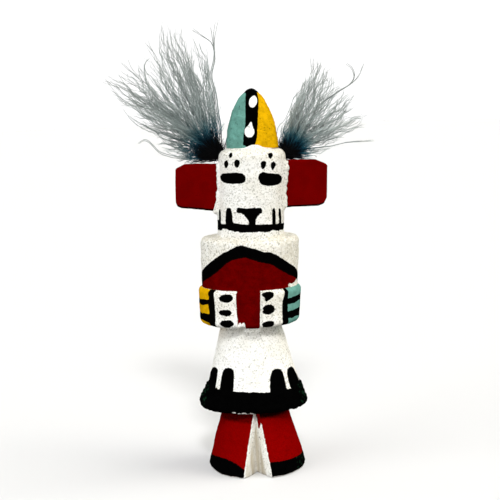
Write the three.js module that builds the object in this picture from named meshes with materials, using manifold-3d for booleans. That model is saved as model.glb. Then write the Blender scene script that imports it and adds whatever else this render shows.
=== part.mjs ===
// A small kachina doll of cottonwood root, about 160 mm tall to the tips of its feathers, in millimetres.
// It stands on its feet on the plane z = 0, with +Z up, and faces -Y. Left and right are as seen from the front.
// The figure (legs, kilt, torso, arms and head) is one carving. Two ear tabs are let into the sides of the
// head, a pointed crest sits on top of it, and the shafts of two down plumes go into holes above the ears.
import * as THREE from "three";
import { mergeVertices } from "three/addons/utils/BufferGeometryUtils.js";
import Module from "manifold-3d";

const wasm = await Module();
wasm.setup();

// Glue line left between two pieces that touch.
const GAP = 0.3;

// Heights of the carving's parts, from the floor up.
const LEG_HEIGHT = 22.4;
const KILT_HEIGHT = 31;
const TORSO_HEIGHT = 30.6;
const HEAD_HEIGHT = 30.6;
const CREST_HEIGHT = 21.2;

// Ovals that the carving runs through: half of the width, and how far the front and the back stand off the axis.
// drift is how far the knife let the middle of the oval wander sideways.
const FOOT = { halfWidth: 17.8, front: 20, back: 17, drift: 0 };
const LEG_TOP = { halfWidth: 10.9, front: 11.8, back: 11.2, drift: -0.5 };
const HEM = { halfWidth: 18.8, front: 16.4, back: 15.8, drift: -1 };
const KILT_FLARE = { halfWidth: 16.7, front: 14.8, back: 14.3, drift: -0.6 };
const WAIST = { halfWidth: 9.8, front: 9.7, back: 9.2, drift: -1.2 };
const BELLY = { halfWidth: 16.3, front: 14.9, back: 13, drift: -1.5 };
const CHEST = { halfWidth: 17.7, front: 12.2, back: 12, drift: -0.8 };
const NECK = { halfWidth: 11.8, front: 11.3, back: 11, drift: -0.4 };
const CROWN = { halfWidth: 11.8, front: 11.2, back: 10.9, drift: 0.8 };

// Edges that the knife took off.
const SOLE_BEVEL = 0.9;
const HEM_ROUND = 1.9;
const SHOULDER_ROUND = 2.2;
const CROWN_ROUND = 2.6;
// How far above the hem the kilt starts to flare.
const FLARE_HEIGHT = 7.4;
// How far one block of the carving reaches into the next.
const ROOT = 2;

// V-shaped notches that part the legs: where the inner edge stands off the axis, and how far they open.
const NOTCH_FRONT = 11;
const NOTCH_BACK = 11;
const NOTCH_ANGLE = 64;
const NOTCH_REACH = 14;

// Forearms laid across the belly, in relief.
const ARM_HEIGHT = 12.6;
const ARM_RELIEF = 1.4;
const ARM_ROOT = 3;
const ARM_EDGE = 1.1;
const ARM_DROP = 0.4;
const HAND_GAP = 8.1;
const ELBOW_ANGLE = 122;

// Ear tabs: a plank that narrows outwards, let into the side of the head. Its upper outer corner is cut, and
// its lower one is rounded off, with the middle of the rounding at these shares of its size.
const EAR_REACH = 15;
const EAR_HEIGHT = 16.8;
const EAR_THICKNESS = 4.6;
const EAR_SEAT = 1.6;
const EAR_ROUNDING = { along: 0.35, up: 0.25 };
const EAR_LEFT = { side: -1, drop: 5, tilt: -1.5, narrowing: 1.3, cut: { along: 3.2, down: 1.8 }, round: 2 };
const EAR_RIGHT = { side: 1, drop: 4.05, tilt: -1.4, narrowing: 0.7, cut: { along: 3.9, down: 1.7 }, round: 3 };

// Crest: its base is as wide as the flat on top of the head, and its sides are a power of a circle's.
const CREST_HALF_DEPTH = 6.4;
const CREST_SIDE = 0.65;
const CREST_SHIFT = 0.2;
const CREST_FACETS = 36;

// Plumes: the shaft and its hole, and then a fan of locks of down. Angles are from upright, outwards.
const SHAFT_RADIUS = 0.9;
const SHAFT_DEPTH = 5;
const SHAFT_LENGTH = 3.4;
const HOLE_DROP = 2.2;
const HOLE_INSET = 1;
const HOLE_BACK = 2.4;
const LOCK_RADIUS = 2.6;
const LOCK_TIP_RADIUS = 0.28;
const LOCK_SIDES = 6;
const LOCK_STEPS = 5;
// How far a lock leans forwards or back and how much shorter every other one is, as shares of its length,
// and by how many degrees a lock bends.
const LOCK_SPREAD = 0.17;
const LOCK_UNEVEN = 0.08;
const LOCK_DROOP = 5;
// Each fan opens from one angle to another about the shaft's own. Its locks lengthen from the inner one to
// the long ones, which fill the fan from one share of its angle to another, and shorten to the outer one.
const PLUME_LEFT = {
  side: -1, lean: 34, from: -2, to: 92, locks: 16,
  inner: 25, long: 48, outer: 11, longFrom: 0.16, longTo: 0.58,
};
const PLUME_RIGHT = {
  side: 1, lean: 44, from: 0, to: 96, locks: 14,
  inner: 11, long: 38.5, outer: 10, longFrom: 0.36, longTo: 0.62,
};

const SIDES = 60;

const hemZ = LEG_HEIGHT;
const waistZ = hemZ + KILT_HEIGHT;
const shoulderZ = waistZ + TORSO_HEIGHT;
const crownZ = shoulderZ + HEAD_HEIGHT;

const degrees = THREE.MathUtils.degToRad;
const mix = THREE.MathUtils.lerp;

// The oval a share t of the way from one oval to another.
function between(from, to, t) {
  const oval = {};
  for (const key of Object.keys(from)) oval[key] = mix(from[key], to[key], t);
  return oval;
}

// The same oval, drawn in by some distance all round.
function shrunk(oval, by) {
  const { halfWidth, front, back, drift } = oval;
  return { halfWidth: halfWidth - by, front: front - by, back: back - by, drift };
}

// The point of an oval at an angle from its front, counted towards +X.
function onOval(oval, angle, z) {
  const depth = Math.cos(angle) > 0 ? oval.front : oval.back;
  return new THREE.Vector3(oval.drift + oval.halfWidth * Math.sin(angle), -depth * Math.cos(angle), z);
}

// Levels [height, oval] of a rounded edge that ends at a flat face: upwards if up is 1, and else downwards.
function rounded(oval, faceZ, radius, up) {
  const steps = 4;
  return Array.from({ length: steps + 1 }, (_, i) => {
    const turn = (i / steps) * (Math.PI / 2);
    const z = faceZ - up * radius * (1 - Math.sin(turn));
    return [z, shrunk(oval, radius * (1 - Math.cos(turn)))];
  });
}

// A closed geometry through rings of points, each ring with as many points, counterclockwise seen from its end.
function loft(rings) {
  const count = rings[0].length;
  const points = rings.flat();
  const faces = [];
  for (let k = 0; k + 1 < rings.length; k++) {
    for (let i = 0; i < count; i++) {
      const a = k * count + i;
      const b = k * count + ((i + 1) % count);
      faces.push(a, b, b + count, a, b + count, a + count);
    }
  }
  const middle = (ring) => ring.reduce((sum, p) => sum.add(p), new THREE.Vector3()).divideScalar(count);
  const top = (rings.length - 1) * count;
  points.push(middle(rings[0]), middle(rings.at(-1)));
  for (let i = 0; i < count; i++) {
    const j = (i + 1) % count;
    faces.push(points.length - 2, j, i, points.length - 1, top + i, top + j);
  }
  return new THREE.BufferGeometry().setFromPoints(points).setIndex(faces);
}

// A block through levels [height, oval], from the lowest up.
function block(levels, sides = SIDES) {
  return loft(
    levels.map(([z, oval]) =>
      Array.from({ length: sides }, (_, i) => onOval(oval, (2 * Math.PI * i) / sides, z)),
    ),
  );
}

// Levels evenly spaced between two ovals, both ends included.
function taper(fromZ, from, toZ, to, steps) {
  return Array.from({ length: steps + 1 }, (_, i) => [
    mix(fromZ, toZ, i / steps),
    between(from, to, i / steps),
  ]);
}

// Geometry to solid, and back.
function solid(geometry) {
  const bare = geometry.clone().deleteAttribute("normal").deleteAttribute("uv");
  const merged = mergeVertices(bare, 1e-4);
  const mesh = new wasm.Mesh({
    numProp: 3,
    vertProperties: new Float32Array(merged.attributes.position.array),
    triVerts: new Uint32Array(merged.index.array),
  });
  return new wasm.Manifold(mesh);
}

function geometryOf(body) {
  const { vertProperties, triVerts } = body.getMesh();
  return new THREE.BufferGeometry()
    .setAttribute("position", new THREE.BufferAttribute(vertProperties, 3))
    .setIndex(new THREE.BufferAttribute(triVerts, 1));
}

function legs() {
  const edge = between(FOOT, LEG_TOP, SOLE_BEVEL / LEG_HEIGHT);
  return block([
    [0, shrunk(FOOT, SOLE_BEVEL)],
    ...taper(SOLE_BEVEL, edge, hemZ + ROOT, LEG_TOP, 2),
  ]);
}

function kilt() {
  const flareZ = hemZ + FLARE_HEIGHT;
  return block([
    ...rounded(HEM, hemZ, HEM_ROUND, -1).reverse(),
    ...taper(flareZ, KILT_FLARE, waistZ + ROOT, WAIST, 3),
  ]);
}

function torso() {
  return block([
    ...taper(waistZ, BELLY, shoulderZ - SHOULDER_ROUND, CHEST, 3).slice(0, -1),
    ...rounded(CHEST, shoulderZ, SHOULDER_ROUND, 1),
  ]);
}

function head() {
  return block([
    ...taper(shoulderZ - ROOT, NECK, crownZ - CROWN_ROUND, CROWN, 2).slice(0, -1),
    ...rounded(CROWN, crownZ, CROWN_ROUND, 1),
  ]);
}

// The torso's oval at a height.
function torsoAt(z) {
  return between(BELLY, CHEST, (z - waistZ) / (TORSO_HEIGHT - SHOULDER_ROUND));
}

// A forearm: a bar that follows the belly from the hand, near the middle, round to the elbow.
function forearm(side) {
  const bottom = waistZ - ARM_DROP;
  const top = bottom + ARM_HEIGHT;
  const hand = Math.asin(HAND_GAP / 2 / BELLY.halfWidth);
  const elbow = degrees(ELBOW_ANGLE);
  const steps = 16;
  // Corners of the bar's section as [how far it stands off the torso, height], clockwise seen from the hand.
  const corners = [
    [-ARM_ROOT, bottom],
    [ARM_RELIEF - ARM_EDGE, bottom],
    [ARM_RELIEF, bottom + ARM_EDGE],
    [ARM_RELIEF, top - ARM_EDGE / 2],
    [ARM_RELIEF - ARM_EDGE / 2, top],
    [-ARM_ROOT, top],
  ];
  const rings = Array.from({ length: steps + 1 }, (_, i) => {
    const angle = side * mix(hand, elbow, i / steps);
    return corners.map(([off, z]) => onOval(shrunk(torsoAt(z), -off), angle, z));
  });
  return loft(side < 0 ? rings : rings.reverse());
}

// The wedge cut out between the legs, in front if side is -1 and behind if it is 1.
function notch(side, edge) {
  const half = NOTCH_REACH * Math.tan(degrees(NOTCH_ANGLE / 2));
  const outline = new THREE.Shape([
    new THREE.Vector2(0, side * edge),
    new THREE.Vector2(-half, side * (edge + NOTCH_REACH)),
    new THREE.Vector2(half, side * (edge + NOTCH_REACH)),
  ]);
  return new THREE.ExtrudeGeometry(outline, { depth: hemZ + ROOT, bevelEnabled: false }).translate(0, 0, -ROOT);
}

// How far the side of the head stands out at a height, with its drift.
function headSide(side, z) {
  const oval = between(NECK, CROWN, (z - shoulderZ) / HEAD_HEIGHT);
  return oval.drift + side * oval.halfWidth;
}

// Middle of an ear tab's inner end, and its tilt.
function earPlace({ side, drop, tilt }) {
  const z = crownZ - drop - EAR_HEIGHT / 2;
  return { at: new THREE.Vector3(headSide(side, z) - side * EAR_SEAT, 0, z), turn: degrees(tilt) };
}

// An ear tab from its inner end at x = 0 outwards.
function plank({ side, narrowing, cut, round }) {
  const reach = EAR_SEAT + EAR_REACH;
  const high = EAR_HEIGHT / 2;
  const low = narrowing - high;
  const outline = new THREE.Shape(
    [
      [0, -high],
      [reach - round, low],
      [reach - round * EAR_ROUNDING.along, low + round * EAR_ROUNDING.up],
      [reach, low + round],
      [reach, high - cut.down],
      [reach - cut.along, high],
      [0, high],
    ].map(([x, y]) => new THREE.Vector2(side * x, y)),
  );
  return new THREE.ExtrudeGeometry(outline, { depth: EAR_THICKNESS, bevelEnabled: false })
    .translate(0, 0, -EAR_THICKNESS / 2)
    .rotateX(Math.PI / 2);
}

// The slot in the head that an ear tab is let into.
function earSlot(ear) {
  const { at, turn } = earPlace(ear);
  const length = EAR_SEAT + GAP + ROOT;
  return new THREE.BoxGeometry(length, EAR_THICKNESS + 2 * GAP, EAR_HEIGHT + 2 * GAP)
    .translate(ear.side * (length / 2 - GAP), 0, 0)
    .rotateY(-turn)
    .translate(at.x, at.y, at.z);
}

// Mouth of a plume's hole, on the shoulder of the crown, and the way the shaft leaves it.
function plumePlace({ side, lean }) {
  const z = crownZ - HOLE_DROP;
  const angle = degrees(lean);
  return {
    mouth: new THREE.Vector3(headSide(side, z) - side * HOLE_INSET, HOLE_BACK, z),
    way: new THREE.Vector3(side * Math.sin(angle), 0, Math.cos(angle)),
  };
}

// A round bar from one point to another.
function bar(from, to, radius) {
  const way = to.clone().sub(from);
  const turn = new THREE.Quaternion().setFromUnitVectors(new THREE.Vector3(0, 1, 0), way.clone().normalize());
  return new THREE.CylinderGeometry(radius, radius, way.length(), 12)
    .applyQuaternion(turn)
    .translate(...from.clone().add(to).divideScalar(2).toArray());
}

function plumeHole(plume) {
  const { mouth, way } = plumePlace(plume);
  const bottom = mouth.clone().addScaledVector(way, -SHAFT_DEPTH - GAP);
  return bar(bottom, mouth.clone().addScaledVector(way, ROOT * 2), SHAFT_RADIUS + GAP);
}

// One lock of down: a thin tapering horn from a point, in a plane through Z, that droops as it goes out.
function lock(from, lean, aside, length, droop) {
  const at = (t) => {
    const angle = lean + droop * t * t;
    const out = Math.sin(angle) * length * t;
    return new THREE.Vector3(from.x + out, from.y + aside * length * t, from.z + Math.cos(angle) * length * t);
  };
  const rings = Array.from({ length: LOCK_STEPS + 1 }, (_, k) => {
    const t = k / LOCK_STEPS;
    const centre = at(t);
    const way = at(t + 0.02).sub(at(t - 0.02)).normalize();
    const across = new THREE.Vector3(0, 1, 0).cross(way).normalize();
    const deep = way.clone().cross(across);
    const swell = Math.sin(Math.PI * Math.pow(mix(0.16, 1, t), 0.8));
    const radius = LOCK_TIP_RADIUS + (LOCK_RADIUS - LOCK_TIP_RADIUS) * swell;
    return Array.from({ length: LOCK_SIDES }, (_, i) => {
      const turn = (2 * Math.PI * i) / LOCK_SIDES;
      return centre
        .clone()
        .addScaledVector(across, radius * Math.cos(turn))
        .addScaledVector(deep, radius * Math.sin(turn));
    });
  });
  return loft(rings);
}

// Length of a plume's lock, by its share of the way round the fan.
function lockLength({ inner, long, outer, longFrom, longTo }, share) {
  if (share < longFrom) return mix(inner, long, share / longFrom);
  return share < longTo ? long : mix(long, outer, (share - longTo) / (1 - longTo));
}

function plume(spec) {
  const { mouth, way } = plumePlace(spec);
  const fork = mouth.clone().addScaledVector(way, SHAFT_LENGTH);
  const shaft = bar(mouth.clone().addScaledVector(way, -SHAFT_DEPTH), fork, SHAFT_RADIUS);
  const knot = new THREE.SphereGeometry(LOCK_RADIUS, 10, 8).translate(...fork.toArray());
  const locks = Array.from({ length: spec.locks }, (_, i) => {
    const share = i / (spec.locks - 1);
    const lean = spec.side * degrees(mix(spec.from, spec.to, share));
    const aside = LOCK_SPREAD * Math.sin(2.4 * i + 1);
    const reach = lockLength(spec, share) * (1 - LOCK_UNEVEN * (i % 2));
    const droop = spec.side * degrees(LOCK_DROOP) * Math.cos(1.9 * i);
    return lock(fork, lean, aside, reach, droop);
  });
  return [shaft, knot, ...locks].map(solid).reduce((whole, piece) => whole.add(piece));
}

function figure() {
  return [legs(), kilt(), torso(), head(), forearm(-1), forearm(1)]
    .map(solid)
    .reduce((whole, piece) => whole.add(piece))
    .subtract(solid(notch(-1, NOTCH_FRONT)))
    .subtract(solid(notch(1, NOTCH_BACK)))
    .subtract(solid(earSlot(EAR_LEFT)))
    .subtract(solid(earSlot(EAR_RIGHT)))
    .subtract(solid(plumeHole(PLUME_LEFT)))
    .subtract(solid(plumeHole(PLUME_RIGHT)));
}

// The pointed crest: an oval block whose sides curve in to a blunt tip.
function crest() {
  const steps = 12;
  const halfWidth = CROWN.halfWidth - CROWN_ROUND;
  const levels = Array.from({ length: steps }, (_, i) => {
    const t = Math.sin(((i / steps) * Math.PI) / 2);
    const share = Math.pow(1 - t * t, CREST_SIDE);
    const depth = CREST_HALF_DEPTH * share;
    return [t * CREST_HEIGHT, { halfWidth: halfWidth * share, front: depth, back: depth, drift: 0 }];
  });
  return block(levels, CREST_FACETS);
}

const paint = (color, roughness) => new THREE.MeshStandardMaterial({ color, roughness, metalness: 0 });
const gesso = paint("#e9e6dc", 0.8);
const red = paint("#7a0a08", 0.6);
const turquoise = paint("#6fa89b", 0.7);
const down = paint("#8b9696", 0.9);

function named(name, geometry, material) {
  const mesh = new THREE.Mesh(geometry, material);
  mesh.name = name;
  return mesh;
}

const doll = new THREE.Group();
doll.add(named("figure", geometryOf(figure()), gesso));
for (const [name, ear] of [["ear_left", EAR_LEFT], ["ear_right", EAR_RIGHT]]) {
  const tab = named(name, plank(ear), red);
  const { at, turn } = earPlace(ear);
  tab.position.copy(at);
  tab.rotation.y = -turn;
  doll.add(tab);
}
const cap = named("crest", crest(), turquoise);
cap.position.set(CROWN.drift + CREST_SHIFT, 0, crownZ + GAP);
doll.add(cap);
doll.add(named("plume_left", geometryOf(plume(PLUME_LEFT)), down));
doll.add(named("plume_right", geometryOf(plume(PLUME_RIGHT)), down));

export default doll;
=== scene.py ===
# Looks of a small kachina doll: gessoed and painted cottonwood root with two plumes of grey down.
# Sizes and places are in millimetres until a mesh is written, which is in metres.
import math

import bmesh
import bpy
import numpy as np
from mathutils import Matrix, Vector, noise


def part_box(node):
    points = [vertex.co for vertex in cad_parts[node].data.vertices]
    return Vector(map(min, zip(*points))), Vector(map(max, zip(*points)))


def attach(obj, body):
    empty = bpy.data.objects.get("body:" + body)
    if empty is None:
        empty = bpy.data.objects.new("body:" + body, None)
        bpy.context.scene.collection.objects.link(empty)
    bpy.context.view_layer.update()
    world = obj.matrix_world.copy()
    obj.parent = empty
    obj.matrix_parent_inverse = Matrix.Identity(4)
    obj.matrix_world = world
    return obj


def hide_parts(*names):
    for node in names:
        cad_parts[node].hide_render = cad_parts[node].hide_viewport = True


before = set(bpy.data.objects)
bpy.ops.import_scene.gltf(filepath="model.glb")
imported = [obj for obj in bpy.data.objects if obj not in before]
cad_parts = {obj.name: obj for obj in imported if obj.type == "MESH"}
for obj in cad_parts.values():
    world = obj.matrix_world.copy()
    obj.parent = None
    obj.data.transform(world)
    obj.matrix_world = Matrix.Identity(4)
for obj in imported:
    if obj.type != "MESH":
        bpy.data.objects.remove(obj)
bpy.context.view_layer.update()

MM = 0.001
# One generator for the carving and one for the down, so that neither disturbs the other.
RANDOM = np.random.default_rng(41)
DOWN_RANDOM = np.random.default_rng(5)

# Heights of the carving, read from the frame, and where its parts meet.
CROWN_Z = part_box("figure")[1][2] / MM
SHOULDER_Z = CROWN_Z - 30.6
WAIST_Z = SHOULDER_Z - 30.6
HEM_Z = WAIST_Z - 31
# The top of the hem's raised black band.
HEM_TOP = 30.3

# The cylinder on which each part's pattern is laid out: its radius, and where its middle stands.
HEAD, TORSO, KILT, LEGS = (11.8, 0), (17, -1), (18, -1), (18, 0)


# Meshes

def points_of(mesh):
    """The places of a mesh's vertices."""
    flat = np.empty(len(mesh.vertices) * 3)
    mesh.vertices.foreach_get("co", flat)
    return flat.reshape(-1, 3) / MM


def normals_of(mesh):
    """The directions that a mesh's vertices face."""
    flat = np.empty(len(mesh.vertices) * 3)
    mesh.vertex_normals.foreach_get("vector", flat)
    return flat.reshape(-1, 3)


def move_points(mesh, points):
    mesh.vertices.foreach_set("co", (points * MM).ravel())
    mesh.update()


def add_values(mesh, **values):
    """Stores one number for each vertex under each name, for a material to read."""
    for name, numbers in values.items():
        layer = mesh.attributes.new(name, "FLOAT", "POINT")
        layer.data.foreach_set("value", np.asarray(numbers, float))


def add_object(name, data):
    made = bpy.data.objects.new(name, data)
    bpy.context.scene.collection.objects.link(made)
    return made


def link(name, mesh, paint):
    piece = add_object(name, mesh)
    mesh.materials.clear()
    mesh.materials.append(paint)
    return piece


def skin_over(name, node_name, voxel, smoothing, beads=()):
    """A fine closed mesh over a solid of the frame and over round beads, each a centre and a radius."""
    shell = bmesh.new()
    shell.from_mesh(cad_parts[node_name].data)
    for centre, radius in beads:
        place = Matrix.Translation(Vector(centre) * MM)
        bmesh.ops.create_icosphere(shell, subdivisions=2, radius=radius * MM, matrix=place)
    rough = bpy.data.meshes.new(name + "_rough")
    shell.to_mesh(rough)
    shell.free()
    holder = add_object(name + "_rough", rough)
    remesh = holder.modifiers.new("skin", "REMESH")
    remesh.mode = "VOXEL"
    remesh.voxel_size = voxel * MM
    soften = holder.modifiers.new("soften", "SMOOTH")
    soften.factor = 0.5
    soften.iterations = smoothing
    fine = bpy.data.meshes.new_from_object(holder.evaluated_get(bpy.context.evaluated_depsgraph_get()))
    fine.name = name
    bpy.data.objects.remove(holder)
    bpy.data.meshes.remove(rough)
    fine.shade_smooth()
    return fine


def unit(vectors):
    return vectors / np.maximum(np.linalg.norm(vectors, axis=-1, keepdims=True), 1e-9)


def bumps(points, size, seed):
    """Smooth noise between -1 and 1 at each point, with humps of about the given size."""
    shift = Vector((seed * 17.3, seed * 5.1, seed * 9.7))
    return np.array([noise.noise(Vector(p) / size + shift) for p in points])


def roughen(mesh, layers):
    """Moves the surface in and out by layers of noise, each a height and the size of its humps."""
    points, normals = points_of(mesh), normals_of(mesh)
    lift = sum(height * bumps(points, size, seed) for seed, (height, size) in enumerate(layers, 1))
    move_points(mesh, points + normals * lift[:, None])


# Brush marks. Each gives the distance to the mark's edge, below zero inside it.

def unrolled(points, part):
    """Places on the sheet that wraps round a part: u to the right of its front, and the height."""
    radius, middle = part
    return radius * np.arctan2(points[:, 0] - middle, -points[:, 1]), points[:, 2]


def dab(u, z, at, size, tilt=0):
    """An oval dab, by its half width and half height, turned by a tilt in degrees."""
    c, s = math.cos(math.radians(tilt)), math.sin(math.radians(tilt))
    a, b = c * (u - at[0]) + s * (z - at[1]), -s * (u - at[0]) + c * (z - at[1])
    return (np.hypot(a / size[0], b / size[1]) - 1) * min(size)


def stroke(u, z, start, end, wide, narrow):
    """A brush stroke with round ends, whose half width goes from wide to narrow."""
    du, dz = end[0] - start[0], end[1] - start[1]
    t = np.clip(((u - start[0]) * du + (z - start[1]) * dz) / (du * du + dz * dz), 0, 1)
    return np.hypot(u - start[0] - t * du, z - start[1] - t * dz) - wide - t * (narrow - wide)


def patch(u, z, corners):
    """A painted patch with straight sides."""
    near, inside = np.full(u.shape, np.inf), np.zeros(u.shape, bool)
    for (au, az), (bu, bz) in zip(corners, corners[1:] + corners[:1]):
        du, dz = bu - au, bz - az
        t = np.clip(((u - au) * du + (z - az) * dz) / (du * du + dz * dz), 0, 1)
        near = np.minimum(near, np.hypot(u - au - t * du, z - az - t * dz))
        if az != bz:
            inside ^= ((az > z) != (bz > z)) & (u < (z - az) * du / dz + au)
    return np.where(inside, -near, near)


def edge(u, points, ease=0.5):
    """The height of a hand-drawn line through some points, with its corners eased."""
    us, zs = zip(*points)
    return sum(np.interp(u + shift * ease, us, zs) for shift in (-1, -0.5, 0, 0.5, 1)) / 5


def span(value, low, high):
    """The stretch of a value between two others."""
    return np.maximum(low - value, value - high)


def joined(*marks):
    return np.minimum.reduce(marks)


def within(*marks):
    return np.maximum.reduce(np.broadcast_arrays(*marks))


# The pattern on the figure

HEAD_OUTLINES = [
    # Three dabs over the left eye, and three over the right one.
    [(-8.8, 113.2), (-8.6, 113.8), (-7.8, 113.9), (-7.1, 113.2), (-7.3, 112.6), (-7.8, 112.2),
     (-8.4, 112.5)],
    [(-11.3, 109.9), (-10.7, 110.9), (-9.6, 111.3), (-8.9, 110.9), (-8.9, 109.8), (-9.5, 108.9),
     (-10.5, 108.7)],
    [(-6.1, 110.7), (-5.6, 111.4), (-4.8, 111.7), (-4, 111.2), (-3.9, 110.1), (-4.5, 109.1),
     (-5.2, 108.9), (-5.9, 109.5)],
    [(7, 113.2), (7.7, 113.6), (8.8, 113.5), (8.8, 112.8), (8.2, 112), (7.5, 111.7), (7, 112.3)],
    [(4, 110.1), (4.4, 110.8), (5.2, 111), (5.9, 110.6), (5.8, 109.4), (5.2, 108.5), (4.5, 108.3),
     (4, 109)],
    [(7.7, 109.5), (8.2, 110.3), (9, 110.6), (9.5, 110), (10, 109.3), (9.4, 108.8), (8.8, 107.9),
     (8.3, 107.7), (7.9, 108.5)],
    # The eyes.
    [(-14.6, 105.4), (-13, 106.4), (-10.4, 106.8), (-7.3, 107), (-4.7, 107.1), (-3, 106.8), (-2, 106.1),
     (-1.7, 105.2), (-1.9, 104.2), (-2.9, 103.6), (-5.3, 103.4), (-7.9, 103.3), (-10.4, 103.5),
     (-12.8, 103.9), (-14.3, 104.6)],
    [(3, 104.9), (3.1, 106), (3.7, 106.8), (4.9, 107.1), (5.8, 106.9), (6.8, 106.6), (8.8, 106.4),
     (11.5, 106), (12.9, 105.1), (13.6, 104.1), (12.9, 103), (11.2, 102.5), (8.8, 102.3), (6.7, 102.3),
     (4.8, 102.7), (3.5, 103.6)],
    # The mouth, whose stem runs down to the band at the neck.
    [(-5.4, 93.6), (-5.4, 94.2), (-5, 94.8), (-4.2, 94.9), (-2.6, 94.7), (-1.3, 94.6), (0.5, 94.8),
     (2.3, 94.7), (3.6, 94.7), (4.1, 94.1), (4, 93.2), (3.2, 92.7), (2.2, 91.9), (1.5, 90.7),
     (1.3, 88.2), (-0.7, 88.2), (-0.9, 90.3), (-1.8, 91.6), (-2.7, 92.6), (-3.6, 93.1), (-5, 93.2)],
    # Four strokes that rise from the band.
    [(-14.9, 88), (-14.9, 93.6), (-14.2, 94.2), (-13.5, 92.6), (-13.1, 88)],
    [(-10.3, 88), (-10.3, 91.1), (-10.1, 93.7), (-9.5, 94.6), (-8.6, 94.8), (-7.9, 94.5), (-7.5, 93.6),
     (-7.2, 91.7), (-7, 88)],
    [(8.5, 88), (8.5, 93.6), (9, 94.2), (9.6, 94.2), (10, 93.3), (10.1, 88)],
    [(12.2, 88), (11.8, 91.8), (12, 93.5), (12.6, 94), (13.3, 93.2), (13.7, 88)],
]
NECK_BAND_TOP = [
    (-37, 89.4), (-16.2, 90), (-13.7, 90.1), (-13.1, 88.9), (-10.5, 89), (-7.1, 89.7), (-3.7, 89.2),
    (4.5, 88.9), (9.8, 88.6), (12.9, 88.7), (14.6, 88.3), (37, 89.4),
]
NECK_BAND_LOW = [
    (-37, 86.6), (-16, 86.3), (-13.2, 86.5), (-11.9, 87.2), (-9.8, 87.3), (-7.6, 86.8), (-6.1, 86.3),
    (-5.4, 87), (-4.5, 86.3), (1.6, 86.3), (6.4, 86.1), (8.6, 86.5), (11.2, 85.9), (14.7, 86.1),
    (37, 86.6),
]
FACE_REACH = 20


def painted_over(u, z, outlines):
    """The places inside any of some outlines, and 0.1 mm round them."""
    return joined(*(patch(u, z, outline) for outline in outlines)) - 0.1


def head_marks(points):
    """Black on the head: dabs, eyes, mouth, upright strokes and the ragged band at the neck."""
    u, z = unrolled(points, HEAD)
    face = within(painted_over(u, z, HEAD_OUTLINES), np.abs(u) - FACE_REACH)
    ragged = 0.45 * bumps(points, 0.8, 12)
    band = within(z - edge(u, NECK_BAND_TOP), edge(u, NECK_BAND_LOW, 0.25) + ragged - z)
    return within(joined(face, band), SHOULDER_Z + 0.8 - z)


def arch_edges(u):
    """Upper and lower edge of the black arch on the chest. It closes down on the elbows behind."""
    outer = edge(u, [
        (-40, 60), (-33, 66.5), (-27, 70.2), (-22.7, 72.7), (-18.2, 75.5), (-15, 77.6), (-12.1, 79.3),
        (-9.1, 80.4), (-6.6, 81.5), (-4.1, 82), (-2.2, 81.7), (0.4, 81.2), (3.5, 80.4), (6.9, 79.4),
        (9.6, 79.3), (11.9, 78.4), (15.3, 76.4), (18.5, 74.4), (23.3, 71.9), (28, 69.2), (33, 66),
        (40, 60),
    ])
    inner = edge(u, [
        (-38, 57), (-30, 63.8), (-23.1, 68.1), (-18.2, 70.3), (-14.9, 72.3), (-12.5, 74.1),
        (-10.2, 75.9), (-8.4, 76.7), (-6, 77.2), (-3.5, 77.5), (-1.9, 77.8), (-0.4, 77.3), (2.7, 76.5),
        (5.7, 75.7), (8.7, 75.3), (10.4, 74.6), (13.9, 72.6), (17.7, 70.6), (23.4, 68.5), (30, 64),
        (38, 57),
    ])
    return outer, inner


ARM_TOP = 66.1
ARM_LOW = WAIST_Z - 0.6
ELBOW = 36.2
# Three dabs on the back of each hand.
HAND_DABS = [
    [(-12.5, 63.5), (-11.4, 64.7), (-9.6, 65.1), (-7.7, 65), (-6.8, 64), (-7.3, 63.1), (-8.7, 62.3),
     (-10.3, 62.3), (-11.8, 62.7)],
    [(-12.4, 58.6), (-11.6, 59.4), (-9.4, 59.7), (-8, 59.6), (-7.2, 58.7), (-7.9, 57.8), (-9.2, 57.5),
     (-10.8, 57.8), (-12, 58)],
    [(-12.1, 54.7), (-11.1, 55.1), (-11.3, 55.6), (-10, 56), (-7.8, 56.1), (-6.7, 55.5), (-6.3, 55),
     (-6.9, 54.2), (-8.6, 53.5), (-10.1, 53.6), (-11, 54.1)],
    [(4.9, 65.2), (6.1, 65.6), (8.3, 65.6), (9.2, 65.1), (9, 63.9), (7.9, 63.3), (6.8, 62.7), (6, 62.5),
     (5.4, 63), (6, 63.5), (5.3, 64), (4.8, 64.4)],
    [(5.1, 60.7), (6.4, 61.2), (8, 61.2), (9.1, 60.4), (9.3, 59.4), (8.6, 58.4), (7.3, 57.9), (6, 57.9),
     (4.7, 58.4), (4.5, 59.2), (5.3, 59.4), (4.5, 59.8)],
    [(4.2, 54.2), (4.5, 55.1), (6.1, 55.5), (7.6, 55.4), (8.8, 55.1), (8.6, 54.1), (7.9, 53.3),
     (6.3, 53.1), (4.6, 53.3)],
]
# Two stripes round each forearm.
ARM_STRIPES = [
    [(-37, 62.3), (-23.1, 61.9), (-20.4, 62.4), (-18.2, 62.4), (-15, 63.1), (-15, 60.9), (-17.9, 61),
     (-20.5, 60.3), (-23.1, 60.2), (-37, 60.5)],
    [(-37, 57), (-22.3, 57), (-19.7, 57.5), (-15, 57.4), (-15, 54.4), (-18.9, 54.7), (-21.9, 54.9),
     (-37, 54.5)],
    [(37, 63), (21.8, 62.9), (17.9, 62.6), (14.5, 62.3), (14.5, 60.6), (18.3, 60.5), (22.3, 60.9),
     (37, 60.8)],
    [(37, 57.8), (22.6, 58.1), (17.4, 57.9), (14.5, 57.8), (14.5, 55.8), (17.4, 55.3), (19.9, 55.6),
     (23.2, 55.2), (37, 55.2)],
]
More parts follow.
